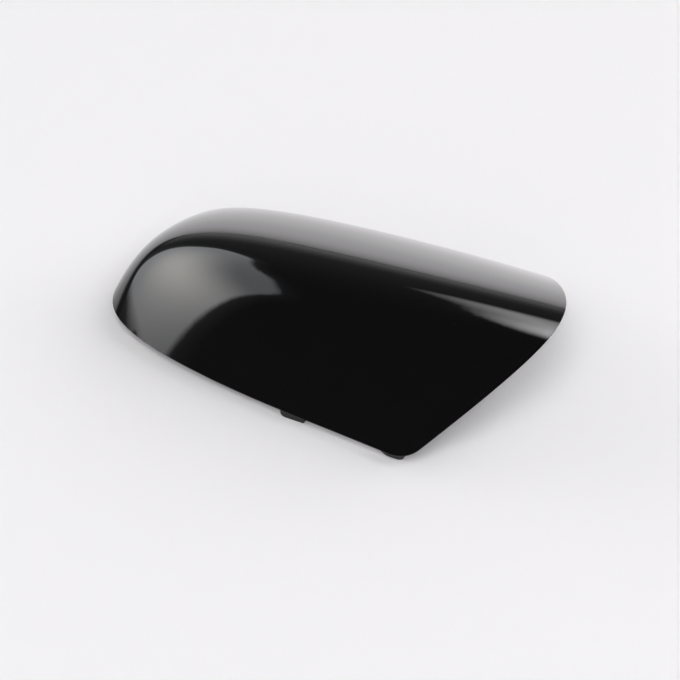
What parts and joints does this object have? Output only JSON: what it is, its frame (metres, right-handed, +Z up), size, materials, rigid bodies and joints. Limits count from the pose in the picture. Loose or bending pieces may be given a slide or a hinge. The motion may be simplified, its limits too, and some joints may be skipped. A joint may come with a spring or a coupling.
{
  "type": "wing mirror cover",
  "caption": "Gloss black moulded cover cap for a car door mirror: a thin double-curved shell, open below and at the inboard cut, with snap hooks, tongues and locating pegs inside.",
  "frame": {"origin": "centre of the bounding box in plan, on the surface that the cover rests on", "axes": "+X along the cover towards its inboard cut, +Y from the near rim to the far rim, +Z up, open side down"},
  "size_m": [0.2424, 0.1641, 0.0659],
  "materials": {
    "gloss_black": "high gloss outside, as moulded inside"
  },
  "bodies": {
    "root": {"mirror_cover": "gloss_black"}
  },
  "joints": []
}
